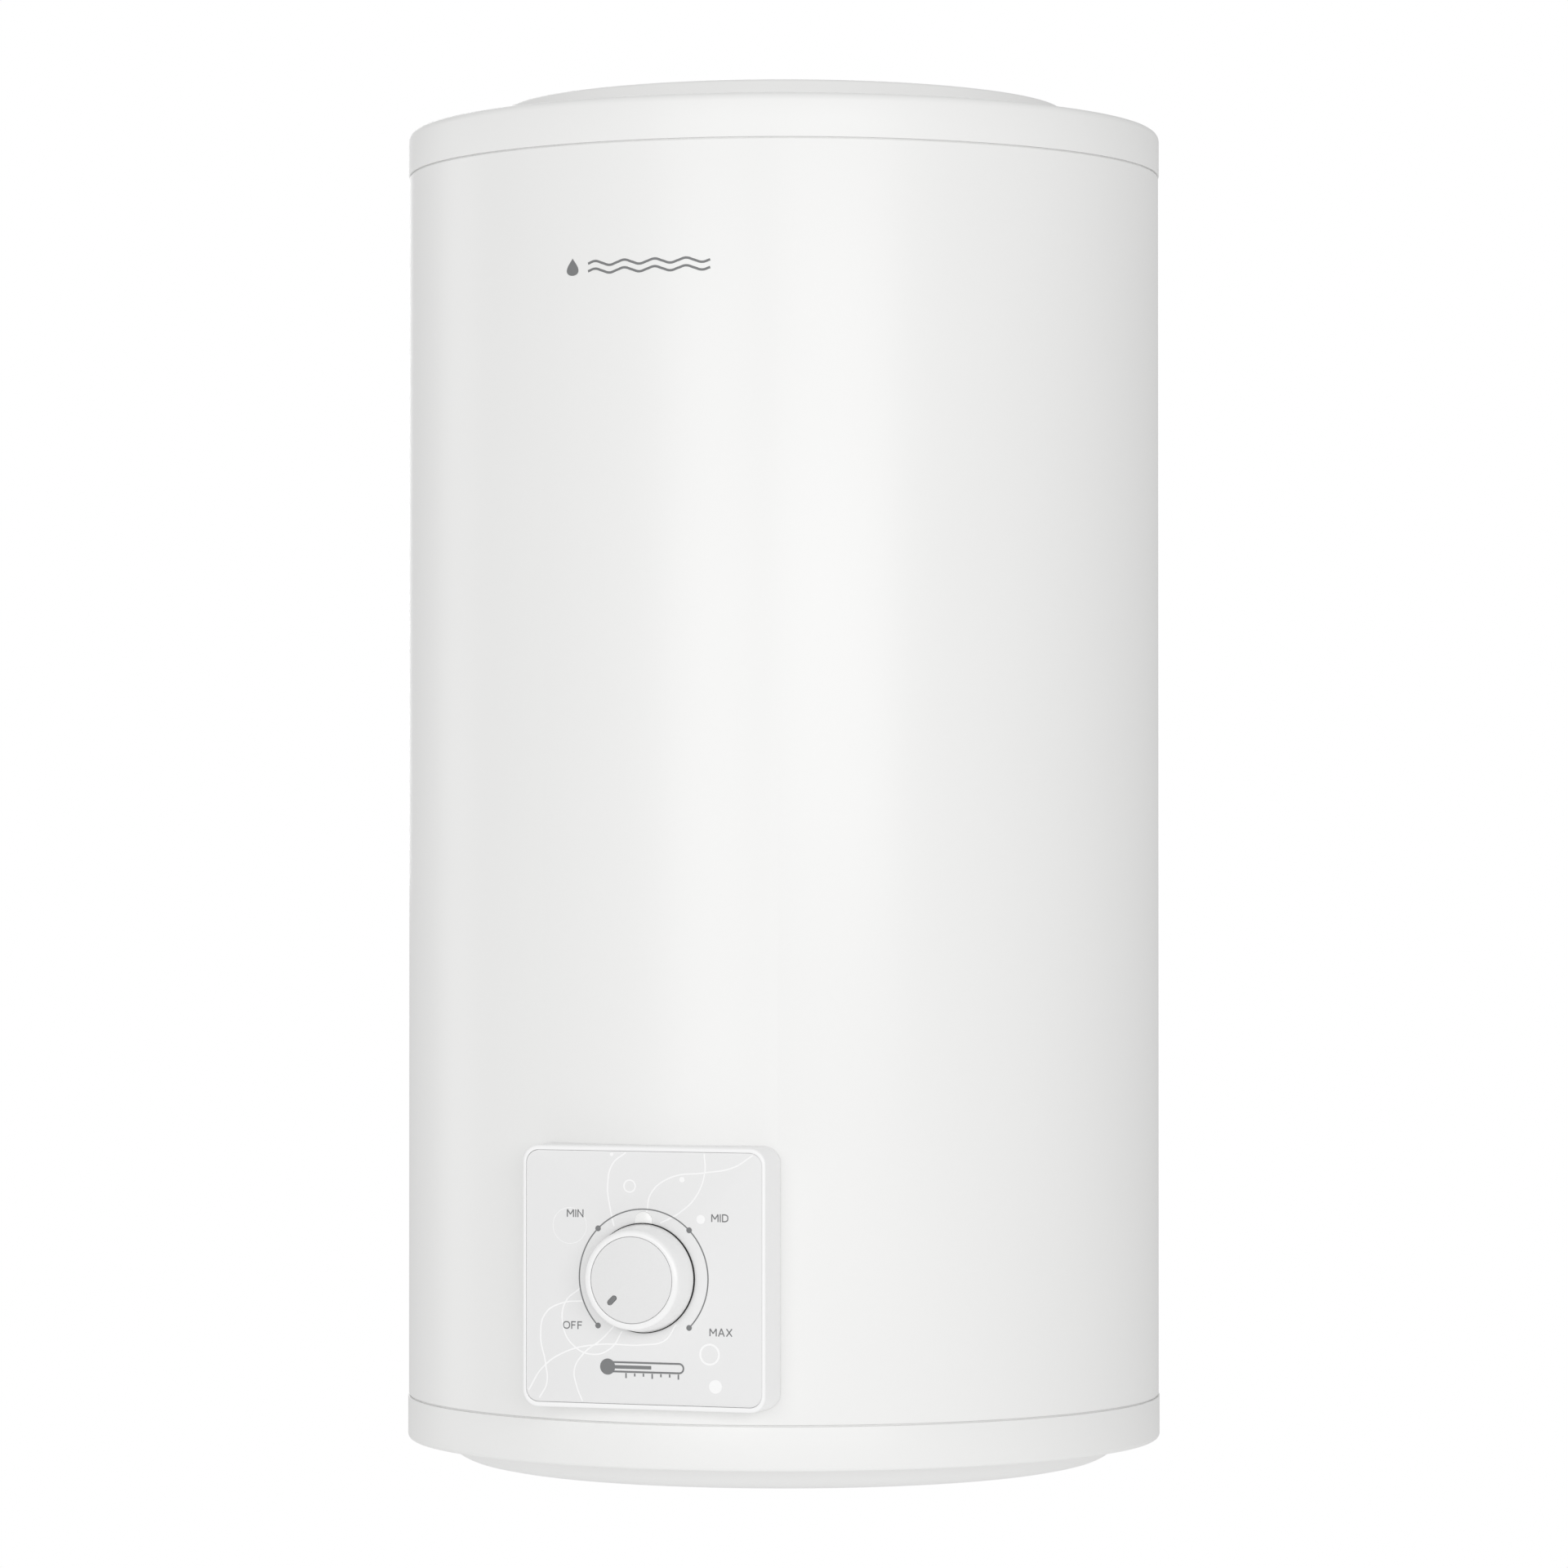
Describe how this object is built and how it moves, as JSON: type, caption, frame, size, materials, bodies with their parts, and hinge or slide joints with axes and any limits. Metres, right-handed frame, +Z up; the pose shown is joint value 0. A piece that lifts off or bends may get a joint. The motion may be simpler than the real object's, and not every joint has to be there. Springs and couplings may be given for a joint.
{
  "type": "tank water heater",
  "caption": "Wall-hung cylindrical electric storage water heater with flush end caps and a square control panel with a round temperature knob low on the front.",
  "frame": {"origin": "on the wall plane, midway between the two hook slots in the hanger bracket's upper flange", "axes": "+Z up along the tank's axis, -Y out of the control panel, +Y into the wall"},
  "size_m": [0.385, 0.436, 0.7089],
  "materials": {
    "white_paint": "gloss",
    "white_plastic": "satin",
    "panel_grey": "satin",
    "knob_plastic": "gloss",
    "lens_plastic": "gloss",
    "dark_mark": "satin",
    "black_plastic": "satin",
    "blue_plastic": "satin",
    "red_plastic": "satin",
    "lamp_glass": "gloss",
    "foam": "matte",
    "enamelled_steel": "gloss",
    "rubber": "matte",
    "zinc_steel": "satin",
    "copper": "satin",
    "magnesium": "matte",
    "brass": "satin"
  },
  "bodies": {
    "heater": {"jacket": "white_paint", "top_cap": "white_plastic", "bottom_cap": "white_plastic", "service_cover": "white_plastic", "cover_screw_1": "zinc_steel", "cover_screw_2": "zinc_steel", "insulation": "foam", "tank_shell": "enamelled_steel", "tank_top_dish": "enamelled_steel", "tank_bottom_dish": "enamelled_steel", "flange_collar": "enamelled_steel", "flange_gasket": "rubber", "flange_plate": "zinc_steel", "flange_nut_1": "zinc_steel", "flange_nut_2": "zinc_steel", "flange_nut_3": "zinc_steel", "flange_nut_4": "zinc_steel", "flange_nut_5": "zinc_steel", "heating_element": "copper", "element_terminal_1": "brass", "element_terminal_2": "brass", "anode_rod": "magnesium", "thermometer_pocket": "copper", "thermostat_bulb": "copper", "capillary_tube": "copper", "cold_nipple": "zinc_steel", "hot_nipple": "zinc_steel", "cold_ring": "blue_plastic", "hot_ring": "red_plastic", "hot_dip_tube": "white_plastic", "inlet_diffuser": "white_plastic", "cable_gland": "black_plastic", "gland_nut": "black_plastic", "panel_frame": "white_plastic", "panel_face": "panel_grey", "indicator_lens": "lens_plastic", "indicator_lamp": "lamp_glass", "thermostat_bracket": "zinc_steel", "thermostat_body": "black_plastic", "thermostat_screw_1": "zinc_steel", "thermostat_screw_2": "zinc_steel", "bracket_screw_1": "zinc_steel", "bracket_screw_2": "zinc_steel", "safety_cutout": "black_plastic", "hanger_bracket": "zinc_steel", "hanger_boss_1": "enamelled_steel", "hanger_boss_2": "enamelled_steel", "hanger_bolt_1": "zinc_steel", "hanger_bolt_2": "zinc_steel", "lower_spacer": "black_plastic", "spacer_screw": "zinc_steel", "terminal_block": "white_plastic", "wire_supply": "black_plastic", "wire_element_1": "red_plastic", "wire_element_2": "blue_plastic"},
    "temperature_knob": {"knob": "knob_plastic", "knob_disc": "panel_grey", "knob_pointer": "dark_mark", "thermostat_spindle": "brass"},
    "cutout_reset": {"reset_button": "red_plastic"}
  },
  "joints": [
    {"name": "knob_turn", "type": "hinge", "parent": "heater", "child": "temperature_knob", "pos_m": [0, -0.419, -0.4474], "axis": [0, 1, 0], "range_deg": [0, 270]},
    {"name": "reset_press", "type": "slide", "parent": "heater", "child": "cutout_reset", "axis": [0, 0, 1], "range_m": [0, 0.0015], "stiffness_N_per_m": 300, "springref_m": -0.001}
  ]
}
